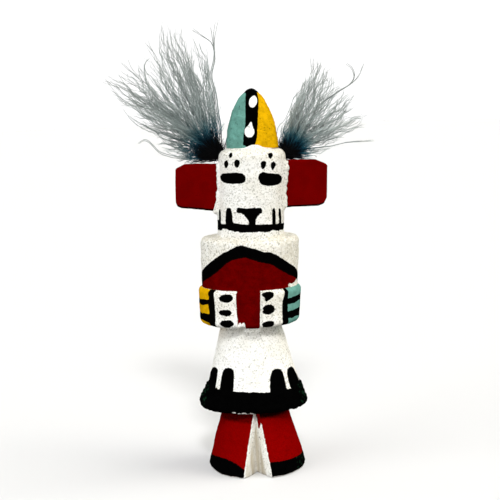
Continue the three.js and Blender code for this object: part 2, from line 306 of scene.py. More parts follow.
# The bands at the wrists: their edges by height.
WRIST_HEIGHTS = (53.6, 56, 58, 60, 62, 63.6, 65.5)
WRISTS = {
    -1: ((-17, -16.7, -16.7, -17, -17.2, -17.2, -17.8), (-13.8, -13.7, -13.8, -14, -14.2, -14.4, -14.8)),
    1: ((12.5, 12.4, 12.4, 12.5, 12.7, 13.4, 14.2), (15.6, 15.2, 15.1, 15.2, 15.3, 15.5, 15.9)),
}
BARE_SPOTS = [
    [(-5.3, 54), (-4.6, 55.1), (-3.8, 54.5), (-2.9, 55), (-2.4, 54), (-2.6, 53), (-5.2, 53)],
    [(17.3, 66.7), (18, 67.5), (19.5, 67.1), (21.5, 67.4), (24, 68.4), (27, 68), (28, 66), (22.7, 65.8),
     (19.3, 66)],
]


def on_torso(z):
    return span(z, ARM_LOW, SHOULDER_Z)


def hand_edge(z, side):
    return np.interp(z, (54, 66), (3.5, 4.3) if side > 0 else (-5.1, -5.7))


def arm_area(u, z, side):
    """The front of one forearm, from the hand to the elbow."""
    return within(side * (hand_edge(z, side) - u), side * u - ELBOW, span(z, ARM_LOW, ARM_TOP))


def wrist_edges(z, side):
    """Both edges of the band at one wrist."""
    return [np.interp(z, WRIST_HEIGHTS, line) for line in WRISTS[side]]


def arms_black(u, z):
    marks = painted_over(u, z, HAND_DABS + ARM_STRIPES)
    bands = [span(u, *wrist_edges(z, side)) for side in (-1, 1)]
    return within(joined(marks, *bands), joined(arm_area(u, z, -1), arm_area(u, z, 1)))


def torso_black(points):
    u, z = unrolled(points, TORSO)
    outer, inner = arch_edges(u)
    arch = within(z - outer, inner - z, ARM_TOP - z)
    return within(joined(arch, arms_black(u, z)), on_torso(z))


def torso_red(points):
    """Dark red under the arch and between the hands, but for two small spots that stayed bare."""
    u, z = unrolled(points, TORSO)
    chest = within(z - arch_edges(u)[1] - 0.3, ARM_TOP - z)
    belly = within(span(u, hand_edge(z, -1), hand_edge(z, 1)), span(z, ARM_LOW, ARM_TOP + 1))
    ragged = 0.3 * bumps(points, 0.8, 13)
    return within(joined(chest, belly), on_torso(z), ragged - painted_over(u, z, BARE_SPOTS))


def arm_paint(points, side):
    u, z = unrolled(points, TORSO)
    return within(arm_area(u, z, side), side * (sum(wrist_edges(z, side)) / 2 - u))


# Four broad strokes on the front of the kilt.
KILT_STROKES = [
    [(-30, 29), (-29, 34), (-26.1, 35.9), (-25.6, 36.5), (-22.8, 37.3), (-20.7, 37.3), (-19.3, 36.7),
     (-18.7, 34.7), (-18.7, 32.9), (-18.9, 29)],
    [(-15.6, 29), (-15.6, 32.4), (-15.4, 36.2), (-15, 37.1), (-13.8, 37.9), (-12.2, 38.2),
     (-10.5, 38.1), (-9.4, 37.6), (-9, 36.5), (-8.8, 34.3), (-8.7, 29)],
    [(7.4, 29), (7.7, 31.9), (8.1, 34.1), (8.6, 35.6), (9.6, 37), (11, 37.4), (12.8, 37.4), (14.2, 37),
     (15.1, 36), (15.2, 34.6), (15.1, 32.8), (15, 29)],
    [(17.4, 29), (17.5, 32.9), (17.6, 34.7), (18, 36), (19.1, 36.7), (21.5, 36.9), (23.4, 36.4),
     (24.8, 35.4), (26.5, 33), (28.5, 29)],
]


# Where the black chipped off along the lower edge of the hem.
HEM_NICKS = (-7.6, 23.4), (-5.6, 22.9), (-4, 23.1), (-2.6, 22.8), (-0.6, 22.9)


def kilt_black(points):
    """The hem's band with four broad strokes that rise from it in front."""
    u, z = unrolled(points, KILT)
    top = edge(u, [
        (-57, 30), (-30, 30.6), (-26, 30.4), (-18.9, 30.6), (-15.8, 30.5), (-8.6, 30.3), (-5.8, 30.4),
        (-3, 30.3), (-1.3, 30.1), (0.9, 30.3), (3.6, 30), (7.4, 29.8), (15.1, 29.9), (17.4, 29.9),
        (26, 30.6), (57, 30),
    ])
    strokes = painted_over(u, z, KILT_STROKES)
    bare = joined(*(dab(u, z, at, (0.75, 0.3), 4) for at in HEM_NICKS))
    ragged = 0.4 * bumps(points, 0.8, 14)
    band = joined(z - top + 0.5 * ragged, strokes)
    return within(band, HEM_Z - 0.4 + ragged - z, -bare - 0.3 * ragged)


def green_glints(points):
    """Dull green where light catches the rough black paint at the hem's ends and on the right foot."""
    u, z = unrolled(points, KILT)
    hem = within(21 - np.abs(u), span(z, HEM_Z + 0.6, HEM_TOP + 0.1))
    foot = within(17 - u, span(z, 0.8, 5))
    specks = 0.22 - bumps(points, 0.8, 15)
    return within(joined(hem, foot), 1.5 * specks)


# Half widths of the legs at the floor and at the hem, and their depths in front and behind.
LEG_WIDE, LEG_FRONT, LEG_BACK = (17.8, 11.4), (20, 12.5), (17, 11.7)


def leg_face(points, normals):
    """The outside of the legs, as against the walls of the notches between them."""
    facing = (unit(points[:, :2]) * normals[:, :2]).sum(1)
    wide, front, back = (
        np.interp(points[:, 2], (0, HEM_Z), ends) for ends in (LEG_WIDE, LEG_FRONT, LEG_BACK)
    )
    deep = np.where(points[:, 1] < 0, front, back)
    depth = (1 - np.hypot(points[:, 0] / wide, points[:, 1] / deep)) * wide
    return np.maximum((0.8 - facing) * 1.6, depth - 1.6)


def foot_black(points, normals):
    u, z = unrolled(points, LEGS)
    top = edge(u, [
        (-57, 5), (-26, 4.5), (-20.5, 5.3), (-16.2, 5.8), (-13, 5.9), (-9.8, 5.5), (-7.5, 5),
        (-5.9, 3.9), (-4, 3), (3, 5.5), (6.4, 5.4), (9.7, 5.2), (12.9, 5.1), (17.1, 5), (25.1, 4.6),
        (57, 5),
    ])
    return within(z - top, leg_face(points, normals))


def leg_red(points, normals):
    """Red on the outside of the legs, with two runs of it down the wall of the notch."""
    u, z = unrolled(points, LEGS)
    runs = [
        stroke(u, z, top, tip, 1.2, 0.3)
        for top, tip in (((1.5, 21.5), (1.1, 16.6)), ((2.4, 21.5), (2.3, 18.6)))
    ]
    return within(joined(leg_face(points, normals), *runs), z - HEM_Z + 0.3)


def leg_shade(points):
    """The hem's shadow, painted dark on the legs' tops: thin at the left, thick at the right."""
    u, z = unrolled(points, LEGS)
    thick = np.clip((z - HEM_Z + 2.1) / 0.8, -1, 1)
    thin = np.minimum(np.clip((z - HEM_Z + 3.4) / 0.9, -1, 1), 0.15)
    share = np.where(u > 1, thick, thin) * np.where(points[:, 1] < 0, 1, 0.5)
    return within(-0.08 * share, z - HEM_Z - 0.5)


# Materials

def material(name, roughness, specular=0.0):
    """A new material with its node tree and its shader."""
    made = bpy.data.materials.new(name)
    made.use_nodes = True
    tree = made.node_tree
    shader = tree.nodes["Principled BSDF"]
    shader.inputs["Roughness"].default_value = roughness
    shader.inputs["Specular IOR Level"].default_value = specular
    return made, tree, shader


def node(tree, kind, inputs=(), **settings):
    """Adds a shader node. An input is a number, a colour or the output of another node."""
    made = tree.nodes.new("ShaderNode" + kind)
    for key, value in settings.items():
        setattr(made, key, value)
    for key, value in dict(inputs).items():
        if isinstance(value, bpy.types.NodeSocket):
            tree.links.new(value, made.inputs[key])
        else:
            made.inputs[key].default_value = value
    return made


def grain(tree, size, detail=3.0):
    """Noise between 0 and 1 over the object, with humps of a size in millimetres."""
    where = node(tree, "TexCoord").outputs["Object"]
    return node(tree, "TexNoise", {
        "Vector": where, "Scale": 1 / (size * MM), "Detail": detail, "Roughness": 0.55,
    }).outputs["Fac"]


def math_node(tree, operation, a, b=0.0, clamp=False):
    return node(tree, "Math", {0: a, 1: b}, operation=operation, use_clamp=clamp).outputs[0]


def ramp(tree, value, low, high, from_value=0.0, to_value=1.0):
    """Maps a value from low..high to from_value..to_value, smoothly and clamped."""
    return node(tree, "MapRange", {
        "Value": value, "From Min": low, "From Max": high, "To Min": from_value, "To Max": to_value,
    }, interpolation_type="SMOOTHSTEP").outputs["Result"]


def stored(tree, name):
    """The numbers stored on a mesh under a name."""
    return node(tree, "Attribute", attribute_name=name).outputs["Fac"]


def mixed(tree, share, a, b):
    """A share of colour b over colour a. The colours are sockets 6 and 7 of the mix node."""
    return node(tree, "Mix", {0: share, 6: a, 7: b}, data_type="RGBA").outputs[2]


def scaled(tree, shade, factor):
    """A colour made lighter or darker."""
    return node(tree, "VectorMath", {0: shade, "Scale": factor}, operation="SCALE").outputs[0]


def colour(red, green, blue):
    return red, green, blue, 1.0


GESSO = colour(0.91, 0.905, 0.87)
GESSO_SHADE = colour(0.8, 0.78, 0.7)
GESSO_DUST = colour(0.36, 0.35, 0.3)
SPECK = colour(0.16, 0.15, 0.11)
# Brown of dirt, also laid on as painted shade and painted warm light.
DIRT_AND_SHADE = colour(0.57, 0.53, 0.42)
WOOD = colour(0.55, 0.49, 0.38)
BLACK = colour(0.0008, 0.0008, 0.0008)
GREEN_BLACK = colour(0.004, 0.017, 0.008)
RED = colour(0.1, 0.0002, 0.0002)
LEG_RED = colour(0.19, 0.0003, 0.0003)
# Painted shadow of the hem on the legs.
PAINTED_HEM_SHADOW = colour(0.012, 0.0002, 0.0002)
EAR_RED = colour(0.142, 0.0003, 0.0003)
EAR_RED_THIN = colour(0.115, 0.0003, 0.0003)
# Painted shade along each ear's lower edge.
EAR_EDGE_SHADE = colour(0.006, 0.0003, 0.0003)
YELLOW = colour(0.63, 0.345, 0.002)
TURQUOISE = colour(0.12, 0.29, 0.245)


def mask(tree, name, ragged, sharp=0.08):
    """How far a stored mark covers a place: 1 inside, with an edge that the brush left ragged."""
    wobble = math_node(tree, "SUBTRACT", grain(tree, 0.9, 4.0), 0.5)
    shifted = math_node(tree, "ADD", stored(tree, name), math_node(tree, "MULTIPLY", wobble, ragged))
    return ramp(tree, shifted, sharp, -sharp)


def gesso_colour(tree):
    """Chalky white with duller clouds, fine dust, brown dirt and painted shade, dark specks and streaks
    of bare wood.
    """
    clouds = ramp(tree, grain(tree, 8), 0.4, 0.66, 0.0, 0.5)
    base = mixed(tree, clouds, GESSO, GESSO_SHADE)
    dirt = stored(tree, "dirt")
    fine = ramp(tree, grain(tree, 0.6, 2.0), 0.51, 0.66, 0.0, 0.6)
    dust = math_node(tree, "MULTIPLY", fine, ramp(tree, dirt, 0, 0.4, 0.85, 1.6))
    base = mixed(tree, dust, base, GESSO_DUST)
    patchy = ramp(tree, grain(tree, 1.1, 4.0), 0.35, 0.65, 0.35, 1.0)
    # Brown dirt and painted shade over the gesso.
    base = mixed(tree, math_node(tree, "MULTIPLY", dirt, patchy), base, DIRT_AND_SHADE)
    specks = ramp(tree, grain(tree, 0.8, 0.0), 0.75, 0.82, 0.0, 0.6)
    base = mixed(tree, specks, base, SPECK)
    return mixed(tree, stored(tree, "wood"), base, WOOD)


SAND_HEIGHT = 0.42


def sandy(tree, shader):
    """The sandy skin of gesso: bump from fine grains over softer humps."""
    grains = math_node(tree, "MULTIPLY", grain(tree, 0.5, 2.0), 0.45)
    humps = math_node(tree, "MULTIPLY", grain(tree, 1.5, 2.0), 0.55)
    bump = node(tree, "Bump", {
        "Height": math_node(tree, "ADD", grains, humps), "Distance": SAND_HEIGHT * MM, "Strength": 1.0,
    })
    tree.links.new(bump.outputs["Normal"], shader.inputs["Normal"])


def painted(name, layers, pits=0.0):
    """Gesso under coats of paint, each a mark's name, its colour, and how ragged and uneven it is."""
    made, tree, shader = material(name, 0.75)
    shade = gesso_colour(tree)
    for mark, tint, ragged, uneven in layers:
        patchy = ramp(tree, grain(tree, 2.2), 0.3, 0.7, 1 - uneven, 1 + uneven)
        shade = mixed(tree, mask(tree, mark, ragged), shade, scaled(tree, tint[:3], patchy))
    if pits:
        holes = ramp(tree, grain(tree, 0.9, 2.0), 0.62, 0.7, 0.0, pits)
        shade = mixed(tree, holes, shade, scaled(tree, shade, 0.3))
    tree.links.new(shade, shader.inputs["Base Color"])
    sandy(tree, shader)
    return made


# The figure

EAR_FACE = 2.5
BEAD_SIDE = 11.9
# The gesso in each ear's joint: its side, the ear, the radii of its beads and how far they stray.
EAR_JOINTS = (-1, "ear_left", (0.6, 0.75), 0.08), (1, "ear_right", (0.3, 1.05), 0.5)


def ear_beads():
    """Blobs of gesso that fill the joints of the ears: smooth at the left, lumpy at the right."""
    beads = []
    for side, node_name, sizes, jitter in EAR_JOINTS:
        low, high = (corner[2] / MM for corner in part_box(node_name))
        for face in (-1, 1):
            for z in np.arange(low + 0.2, high - 0.4, 0.42):
                radius = RANDOM.uniform(*sizes)
                out = BEAD_SIDE + RANDOM.uniform(-jitter, jitter)
                if side < 0:
                    swell = max(0.0, 1 - (z - low) / 4)
                    out += 0.8 * swell
                    radius += 0.3 * swell
                drift = 0.55 if z > 100 else 0.2
                beads.append(((side * out + drift, face * EAR_FACE, z), radius))
        for y in np.arange(-EAR_FACE, EAR_FACE, 0.5):
            beads.append(((side * BEAD_SIDE + 0.4, y, low), RANDOM.uniform(0.35, 0.6)))
    return beads


def crest_beads():
    """A bumpy collar of gesso round the foot of the crest, thickest in front."""
    low, high = (np.array(corner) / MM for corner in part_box("crest"))
    middle, half = (low + high) / 2, (high - low) / 2
    beads = []
    for angle in np.linspace(0, 2 * math.pi, 84, endpoint=False):
        front = max(0.0, math.cos(angle - 0.25)) ** 4
        radius = RANDOM.uniform(0.35, 0.6) + 0.3 * front
        x = middle[0] + (half[0] - 0.2) * math.sin(angle)
        y = -(half[1] - 0.1) * math.cos(angle)
        drop = 0.6 * max(0.0, math.sin(angle))
        beads.append(((x, y, low[2] - 0.4 + 0.4 * front - drop), radius))
    return beads


def belly_beads():
    """A rough wedge that was left uncut under the belly, between the hands."""
    beads = []
    for z in np.arange(WAIST_Z - 4.6, WAIST_Z, 0.7):
        reach = 10.2 + 0.6 * (z - WAIST_Z + 5)
        for depth in np.arange(8.6, reach, 0.7):
            for x in np.arange(-2.9, 2.3, 0.6):
                beads.append(((x, -depth, z), 0.8 + 0.1 * math.sin(7 * x + 5 * z)))
    return beads


def thicken_hem(mesh):
    """The hem's band stands a little proud: its paint was laid on thick over rough gesso."""
    points, normals = points_of(mesh), normals_of(mesh)
    rim = HEM_TOP + 0.5 * bumps(points, 6, 9)
    share = np.clip((rim - points[:, 2]) / 0.5 + 0.5, 0, 1) * np.clip((points[:, 2] - HEM_Z) / 0.6, 0, 1)
    ends = np.clip((np.abs(points[:, 0]) - 12) / 3, 0, 1)
    rough = 0.2 * bumps(points, 1.3, 10) + 0.2 * bumps(points, 0.8, 11)
    lift = share * (0.32 + 0.35 * ends + (1 + ends) * rough)
    moved = points + normals * lift[:, None]
    moved[:, 2] = np.maximum(moved[:, 2], 0)
    move_points(mesh, moved)


# Where the streaks of bare wood in the notches run, from left to right.
STREAKS = np.arange(-6, 8, 0.45)


def bare_wood(points, normals):
    """Streaks of bare wood down the walls of the notches, whose outer edges are white."""
    inward = leg_face(points, normals)
    left_wall = np.clip((inward - 0.5) / 0.4, 0, 1) * np.clip(normals[:, 0] * 4, 0, 1)
    right_wall = np.clip((inward - 1.5) / 0.8, 0, 1) * np.clip(-normals[:, 0] * 4, 0, 1)
    lean = points[:, 0] + 0.04 * points[:, 2]
    streaks = np.interp(lean, STREAKS, RANDOM.uniform(0.1, 1.1, len(STREAKS)))
    return (left_wall + right_wall).clip(0, 1) * streaks.clip(0, 1) * (points[:, 2] < HEM_Z)


def grime_and_shade(points, normals):
    """How brown the gesso is, most on the shoulders' ledge and the crown: dirt, with painted shade on
    the ledge and under the arms and a painted warm light on the right side.
    """
    z = points[:, 2]
    upward = np.clip(normals[:, 2] * 1.4 - 0.3, 0, 1)
    # Painted shade on the ledge of the shoulders, under the head.
    ledge = upward * np.clip(1 - np.abs(z - SHOULDER_Z) / 2.5, 0, 1)
    # Painted shade under the arms.
    under_arms = np.clip(1 - (WAIST_Z - z) / 9, 0, 1) * (z < WAIST_Z + 0.5)
    walls = np.clip(leg_face(points, normals), 0, 1) * (z < HEM_Z)
    crown = np.clip(1 - (CROWN_Z + 0.5 - z) / 5, 0, 1)
    # Painted warm light on the right side.
    right_side = np.clip((points[:, 0] - 6) / 8, 0, 1) * (z > HEM_Z)
    chest = np.clip((z - WAIST_Z) / 8, 0, 1) * np.clip((SHOULDER_Z + 3 - z) / 3, 0, 1)
    head = np.clip((z - SHOULDER_Z - 2) / 4, 0, 1)
    total = (
        0.9 * ledge + 0.3 * under_arms + 0.1 * walls + 0.5 * crown + 0.42 * right_side + 0.42 * chest
        + 0.15 * head
    )
    return np.minimum(total, 0.9)


def make_figure():
    beads = ear_beads() + crest_beads() + belly_beads()
    mesh = skin_over("figure_carving", "figure", voxel=0.46, smoothing=3, beads=beads)
    points, normals = points_of(mesh), normals_of(mesh)
    roughen(mesh, [(0.28, 14), (0.18, 5), (0.1, 1.9), (0.06, 0.9)])
    thicken_hem(mesh)
    black = head_marks(points), torso_black(points), kilt_black(points), foot_black(points, normals)
    add_values(
        mesh, black=joined(*black), red=torso_red(points), leg_red=leg_red(points, normals),
        # The hem's shadow on the legs, painted dark.
        leg_shade=within(leg_shade(points), leg_face(points, normals)),
        yellow=arm_paint(points, -1), turquoise=arm_paint(points, 1), green=green_glints(points),
        dirt=grime_and_shade(points, normals), wood=bare_wood(points, normals),
    )
    paint = painted("gesso_and_paint", [
        ("red", RED, 0.35, 0.16), ("leg_red", LEG_RED, 0.4, 0.06), ("leg_shade", PAINTED_HEM_SHADOW, 0.12, 0.1),
        ("yellow", YELLOW, 0.4, 0.15), ("turquoise", TURQUOISE, 0.4, 0.15), ("black", BLACK, 0.6, 0.2),
        ("green", GREEN_BLACK, 0.4, 0.4),
    ])
    piece = link("figure_carving", mesh, paint)
    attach(piece, "root")
    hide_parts("figure")


# The ears

# How high the painted shade along each ear's lower edge reaches.
EAR_EDGE_HEIGHT = 0.75


def above_lower_edge(points):
    """How far each point is above the lower edge of its ear."""
    place = np.round((points[:, 0] - points[:, 0].min()) / 0.5).astype(int)
    lowest = np.full(place.max() + 1, np.inf)
    np.minimum.at(lowest, place, points[:, 2])
    return points[:, 2] - lowest[place]


def make_ear(node_name):
    mesh = skin_over(node_name + "_tab", node_name, voxel=0.25, smoothing=2)
    roughen(mesh, [(0.16, 7), (0.06, 2)])
    add_values(mesh, edge=above_lower_edge(points_of(mesh)) - EAR_EDGE_HEIGHT)
    made, tree, shader = material(node_name + "_paint", 0.6)
    coat = ramp(tree, grain(tree, 5), 0.3, 0.7)
    shade = mixed(tree, coat, EAR_RED_THIN, EAR_RED)
    # A dark painted shade along the ear's lower edge.
    shade = mixed(tree, mask(tree, "edge", 0.4, 0.2), shade, EAR_EDGE_SHADE)
    tree.links.new(shade, shader.inputs["Base Color"])
    bump = node(tree, "Bump", {
        "Height": grain(tree, 0.6), "Distance": 0.12 * MM, "Strength": 0.4,
    })
    tree.links.new(bump.outputs["Normal"], shader.inputs["Normal"])
    piece = link(node_name + "_tab", mesh, made)
    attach(piece, "root")
    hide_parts(node_name)


# The crest

# Where the turquoise half of the crest meets the yellow one, and the foot of its paint behind.
CREST_MIDDLE = 0.9
CREST_FOOT = 115.3


def make_crest():
    mesh = skin_over("crest_cap", "crest", voxel=0.3, smoothing=3)
    x, y, z = points_of(mesh).T
    add_values(mesh, dirt=0 * x, wood=0 * x)
    roughen(mesh, [(0.25, 6), (0.16, 2), (0.12, 0.9)])
    left = np.interp(z, (116.5, 120, 124, 135), (-2.2, -1.9, -1.2, -0.9))
    right = np.interp(z, (116.5, 119, 124, 129, 132, 135), (2.0, 2.75, 3.1, 3.5, 3.7, 3))
    stripe = joined(within(left - x, x - right, 116.3 - z), 134.4 - z)
    stripe = joined(stripe, dab(x, z, (0, 116.4), (1.6, 0.9)))
    dots = joined(
        dab(x, z, (1.7, 131.3), (1.36, 2.05), -18),
        dab(x, z, (0.15, 121), (1.72, 1.95)),
        stroke(x, z, (0.2, 121.3), (0.8, 124.3), 1.65, 0.15),
    )
    foot = edge(x, [(-9, 115.2), (-2, 115.3), (0.8, 116.5), (3, 116.4), (5, 115.4), (10, 114.8)])
    under = np.where(y < 0, foot - z, CREST_FOOT - z)
    add_values(
        mesh, black=within(stripe, under), white=within(dots, y),
        yellow=within(CREST_MIDDLE - x, under), turquoise=within(x - CREST_MIDDLE, under),
    )
    paint = painted("crest_paint", [
        ("yellow", YELLOW, 0.4, 0.15), ("turquoise", TURQUOISE, 0.4, 0.15), ("black", BLACK, 0.4, 0.2),
        ("white", GESSO, 0.3, 0.02),
    ], pits=0.7)
    piece = link("crest_cap", mesh, paint)
    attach(piece, "root")
    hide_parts("crest")


# The plumes

def tubes(lines, radii):
    """Vertices and faces of closed three-sided tubes along lines of the same number of points."""
    count, steps = lines.shape[:2]
    way = unit(np.gradient(lines, axis=1))
    across = unit(np.cross(way, np.array([0.05, 1.0, 0.1])))
    deep = np.cross(way, across)
    angles = np.array([0, 2, 4]) * math.pi / 3
    ring = (across[:, :, None] * np.cos(angles)[:, None] + deep[:, :, None] * np.sin(angles)[:, None])
    vertices = lines[:, :, None] + ring * radii[:, :, None, None]
    first = np.arange(count)[:, None, None] * steps * 3 + np.arange(steps - 1)[None, :, None] * 3
    i, j = np.arange(3), (np.arange(3) + 1) % 3
    quads = np.stack(np.broadcast_arrays(first + i, first + 3 + i, first + 3 + j, first + j), axis=-1)
    base = np.arange(count)[:, None] * steps * 3
    starts = base + np.array([0, 1, 2])
    ends = base + (steps - 1) * 3 + np.array([2, 1, 0])
    return vertices.reshape(-1, 3), quads.reshape(-1, 4), np.concatenate([starts, ends])


def strand_mesh(name, bunches):
    """One mesh of many strands. A bunch is lines, radii, how far up the dye they are and tones."""
    vertices, quads, caps, along, tones = [], [], [], [], []
    total = 0
    for lines, radii, far, tone in bunches:
        places, sides, ends = tubes(lines, radii)
        vertices.append(places)
        quads.append(sides + total)
        caps.append(ends + total)
        along.append(np.repeat(far.ravel(), 3))
        tones.append(np.repeat(np.broadcast_to(tone[:, None], far.shape).ravel(), 3))
        total += len(places)
    vertices, quads, caps = np.concatenate(vertices), np.concatenate(quads), np.concatenate(caps)
    mesh = bpy.data.meshes.new(name)
    mesh.vertices.add(len(vertices))
    mesh.vertices.foreach_set("co", (vertices * MM).ravel())
    corners = np.concatenate([quads.ravel(), caps.ravel()])
    sizes = np.concatenate([np.full(len(quads), 4), np.full(len(caps), 3)])
    mesh.loops.add(len(corners))
    mesh.loops.foreach_set("vertex_index", corners.astype(np.int32))
    mesh.polygons.add(len(sizes))
    mesh.polygons.foreach_set("loop_start", (np.cumsum(sizes) - sizes).astype(np.int32))
    mesh.update(calc_edges=True)
    mesh.validate()
    mesh.shade_smooth()
    add_values(mesh, along=np.concatenate(along), tone=np.concatenate(tones))
    return mesh


DYED_LENGTH = 50.0


def plume_material():
    """Down dyed blue-black at the root, through a dark teal, to a soft grey at the tips."""
    made, tree, shader = material("down", 0.8, 0.1)
    tone = stored(tree, "tone")
    reach = math_node(tree, "ADD", stored(tree, "along"), math_node(tree, "MULTIPLY", tone, 2.5))
    share = math_node(tree, "DIVIDE", reach, DYED_LENGTH, clamp=True)
    tint = node(tree, "ValToRGB", {"Fac": share})
    stops = [
        (0.0, (0.001, 0.001, 0.0015)), (0.14, (0.001, 0.0015, 0.0025)), (0.17, (0.0015, 0.02, 0.04)),
        (0.21, (0.01, 0.1, 0.15)), (0.26, (0.13, 0.25, 0.27)), (0.33, (0.37, 0.44, 0.43)),
        (0.5, (0.49, 0.55, 0.535)), (0.8, (0.44, 0.48, 0.46)), (1.0, (0.34, 0.37, 0.345)),
    ]
    band = tint.color_ramp
    while len(band.elements) < len(stops):
        band.elements.new(0.5)
    for element, (at, rgb) in zip(band.elements, stops):
        element.position = at
        element.color = colour(*rgb)
    light = ramp(tree, tone, -1.0, 1.0, 0.6, 1.4)
    tree.links.new(scaled(tree, tint.outputs["Color"], light), shader.inputs["Base Color"])
    return made


# The stems of the locks that fork: x and z from the root outward.
LEFT_FORK = [
    (-10.1, 114.5), (-9.9, 123), (-10.8, 128.1), (-11.3, 134.6), (-12.6, 138.8), (-12.9, 141.6),
    (-11.6, 144.7), (-11.3, 147.2),
]
RIGHT_FORK = [(13.6, 113.9), (18.8, 123.7), (26.1, 130.3), (31.6, 133.8), (36.3, 136.4)]
# Each plume: where its shaft leaves the carving, how far the shaft leans out, how many fillers lie among
# its outer locks, on which stretch of its outline, how they crowd there (below 1 toward the ear), the
# reach of its dye, the number of its barbules, the tips of its outer locks as x and z, from the crest
# round to the ear, and the lines of its stray locks.
PLUMES = {
    "plume_left": {
        "root": np.array((-11.9, 2.4, 112.2)), "lean": -38, "fillers": 72, "filled": (0.07, 0.97),
        "crowding": 0.7, "dye": 0.9, "barbules": 14000,
        "tips": [
            (-7.6, 119.5), (-8.7, 124.5), (-10.4, 129), (-12, 134), (-13.2, 140), (-13.8, 147),
            (-16.5, 152.6), (-19.3, 156), (-20.5, 147), (-21.4, 148), (-23.4, 153.3), (-24.5, 159.4),
            (-26.8, 155.5), (-27.6, 156.8), (-29.4, 158.4), (-29.9, 155.6), (-30.4, 151.7),
            (-35.2, 153.3), (-34.1, 147.5), (-39.1, 146.1), (-41.4, 147.6), (-44.2, 146.4),
            (-42.7, 143.4), (-40.3, 140.6), (-46.3, 141), (-49, 142.2), (-48.8, 141.2), (-49.9, 139),
            (-47.5, 138.6), (-46.4, 136), (-44.1, 133.6), (-43.2, 129.6), (-39.4, 124.1),
            (-35.8, 121.2), (-32.5, 117), (-28.5, 113.4), (-25.5, 111.3), (-22.4, 110.3), (-19, 109.9),
        ],
        "strays": [
            [(-13.3, 111.1), (-20.3, 111.6), (-27.3, 112.4), (-32.2, 114), (-35.1, 117.7),
             (-37.1, 119.2), (-39.3, 117.6)],
            LEFT_FORK + [(-11.9, 152.4), (-15.6, 154.4), (-18.6, 157)],
            LEFT_FORK + [(-11.9, 152.4), (-12.8, 157.2)],
            LEFT_FORK + [(-11.3, 154.9), (-10.1, 158.9)],
            [(-17.5, 117.7), (-27.4, 127.9), (-34.2, 135.9), (-35.8, 139.9), (-36.3, 143.4),
             (-35.9, 146.2), (-34.5, 146.9)],
        ],
    },
    "plume_right": {
        "root": np.array((13.2, 2.4, 112.2)), "lean": 42, "fillers": 50, "filled": (0.08, 0.76),
        "crowding": 1.15, "dye": 0.68, "barbules": 11000,
        "tips": [
            (12.6, 121), (15.2, 128.6), (18.3, 134.2), (21.3, 139.5), (23.8, 145), (26.3, 143.4),
            (28.4, 143.6), (30.5, 141.2), (31.5, 138), (32.8, 135.1), (35.2, 133), (38.4, 131.4),
            (36.7, 129.2), (36.6, 126.5), (42, 124.6), (40.8, 122.4), (34.5, 118.2), (29, 114.4),
            (24.2, 112),
        ],
        "strays": [
            RIGHT_FORK + [(38.1, 138.9), (37.4, 141.9), (35.1, 143.7)],
            RIGHT_FORK + [(39, 138.4), (40.2, 142.3)],
            [(14.3, 112.4), (19.6, 113.7), (29.4, 114.4), (34.5, 115.7), (38.8, 116), (43.2, 116.1)],
        ],
    },
}
PATH_STEPS = 28
BARBS_PER_LOCK = 4
BARBS_PER_STRAY = 2
BARB_STEPS = 24
LOCK_WIDTH = (0.0, 0.15, 0.35, 0.65, 0.85, 1.0), (1.2, 1.3, 1.5, 1.3, 0.8, 0.35)
CORE_HAIRS = 1100
# Kinds of barbules: their share of a plume's, how wide they hug a barb and how far they stray.
CLOSE_BARBULES = 0.28, 0.2, 0.01
LOOSE_BARBULES = (0.32, 0.2, 0.02), (0.25, 0.4, 0.08), (0.11, 0.4, 0.3)


def waves(count, steps, lengths, low, high, height):
    """Gentle random waves along lines of the given lengths, with wavelengths between low and high."""
    t = np.linspace(0, 1, steps)
    total = np.zeros((count, steps))
    for size in (1, 0.5, 0.3):
        pitch = DOWN_RANDOM.uniform(low, high, (count, 1)) * size
        phase = DOWN_RANDOM.uniform(0, 2 * math.pi, (count, 1))
        swing = DOWN_RANDOM.normal(0, height * size, (count, 1))
        total += swing * np.sin(2 * math.pi * t * lengths[:, None] / pitch + phase)
    return total * np.minimum(1, t / 0.2)


def sideways_of(way):
    """The two directions across a line: in the plane of the plume, and through it."""
    across = unit(np.cross(way, np.array([0.02, 1.0, 0.03])))
    return across, np.cross(across, way)


def shaft_way(spec):
    """The direction of a plume's shaft."""
    lean = math.radians(spec["lean"])
    return np.array([math.sin(lean), 0, math.cos(lean)])


